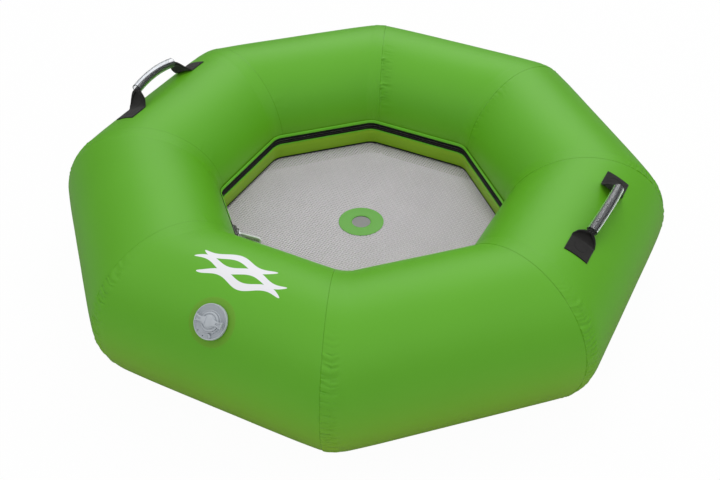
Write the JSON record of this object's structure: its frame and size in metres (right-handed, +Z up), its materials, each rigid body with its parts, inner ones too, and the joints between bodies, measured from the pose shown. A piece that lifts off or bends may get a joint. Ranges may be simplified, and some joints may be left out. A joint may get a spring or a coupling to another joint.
{
  "type": "river tube",
  "caption": "Eight-sided inflatable ring for floating on rivers, with a mesh floor, an inner zip, a push valve with a turn cap, and webbing handles with clear tube grips.",
  "frame": {"origin": "on the ground under the middle of the ring", "axes": "+Z up out of the ring's hole; -Y faces the side with the valve; the two handles are on the +X and -X sides"},
  "size_m": [1.22, 1.22, 0.3552],
  "materials": {
    "cover_skin": "soft sheen, fine cloth under a smooth coat",
    "cell_skin": "smooth, translucent film",
    "zip_cloth": "woven, matte",
    "dark_metal": "blackened, satin",
    "bright_metal": "bright, satin",
    "mesh_cloth": "open weave of coated yarn",
    "valve_plastic": "moulded, satin",
    "seal_rubber": "matte",
    "webbing": "flat woven strap",
    "clear_vinyl": "clear, glossy hose"
  },
  "bodies": {
    "tube": {"cover_panel_front": "cover_skin", "cover_panel_front_right": "cover_skin", "cover_panel_right": "cover_skin", "cover_panel_rear_right": "cover_skin", "cover_panel_rear": "cover_skin", "cover_panel_rear_left": "cover_skin", "cover_panel_left": "cover_skin", "cover_panel_front_left": "cover_skin", "air_cell": "cell_skin", "zipper_tape_upper": "zip_cloth", "zipper_tape_lower": "zip_cloth", "zipper_teeth_upper": "zip_cloth", "zipper_teeth_lower": "zip_cloth", "zipper_end_stop": "zip_cloth", "zipper_flap": "cover_skin", "floor_skirt": "cover_skin", "floor_binding": "zip_cloth", "floor_mesh": "mesh_cloth", "drain_ring_upper": "cover_skin", "drain_ring_lower": "cover_skin", "valve_body": "valve_plastic", "valve_gasket": "seal_rubber", "valve_nut": "valve_plastic", "valve_spider": "valve_plastic", "valve_spring": "bright_metal", "handle_tab_right_near": "webbing", "handle_tab_right_far": "webbing", "handle_tab_left_near": "webbing", "handle_tab_left_far": "webbing"},
    "slider": {"slider_body": "dark_metal", "slider_bail": "dark_metal"},
    "pull_link": {"pull_link": "bright_metal", "pull_pin": "bright_metal"},
    "pull_tab": {"pull_tab": "bright_metal"},
    "plunger": {"valve_stem": "valve_plastic", "stem_button": "valve_plastic", "valve_seal_disc": "seal_rubber"},
    "cap_ring": {"cap_seal": "seal_rubber"},
    "cap": {"valve_cap": "valve_plastic"},
    "handle_right": {"grip_right": "clear_vinyl", "grip_webbing_right": "webbing", "strap_rise_right_near": "webbing", "strap_rise_right_far": "webbing"},
    "handle_left": {"grip_left": "clear_vinyl", "grip_webbing_left": "webbing", "strap_rise_left_near": "webbing", "strap_rise_left_far": "webbing"}
  },
  "joints": [
    {"name": "slider_slide", "type": "slide", "parent": "tube", "child": "slider", "axis": [-0.7071, 0.7071, 0], "range_m": [0, 0.1]},
    {"name": "link_swing", "type": "hinge", "parent": "slider", "child": "pull_link", "pos_m": [-0.18371, -0.20916, 0.16], "axis": [0, 0, 1], "range_deg": [0, 60]},
    {"name": "tab_swing", "type": "hinge", "parent": "pull_link", "child": "pull_tab", "pos_m": [-0.17239, -0.22048, 0.16], "axis": [0, 0, 1], "range_deg": [-45, 60]},
    {"name": "valve_press", "type": "slide", "parent": "tube", "child": "plunger", "axis": [0, 0.7071, -0.7071], "range_m": [0, 0.006], "stiffness_N_per_m": 400, "springref_m": -0.004, "deforming": ["valve_spring"]},
    {"name": "cap_lift", "type": "slide", "parent": "tube", "child": "cap_ring", "axis": [0, -0.7071, 0.7071], "range_m": [0, 0.025]},
    {"name": "cap_turn", "type": "hinge", "parent": "cap_ring", "child": "cap", "pos_m": [-0.005, -0.56314, 0.27314], "axis": [0, -0.7071, 0.7071], "range_deg": [0, 90]},
    {"name": "handle_right_swing", "type": "hinge", "parent": "tube", "child": "handle_right", "pos_m": [0.51508, 0, 0.30617], "axis": [0, 1, 0], "range_deg": [-45, 30], "stiffness_Nm_per_rad": 0.12, "springref_deg": -2.86, "deforming": ["strap_rise_right_near", "strap_rise_right_far"]},
    {"name": "handle_left_swing", "type": "hinge", "parent": "tube", "child": "handle_left", "pos_m": [-0.51508, 0, 0.30617], "axis": [0, -1, 0], "range_deg": [-45, 45], "stiffness_Nm_per_rad": 0.12, "springref_deg": -2.86, "deforming": ["strap_rise_left_near", "strap_rise_left_far"]}
  ]
}
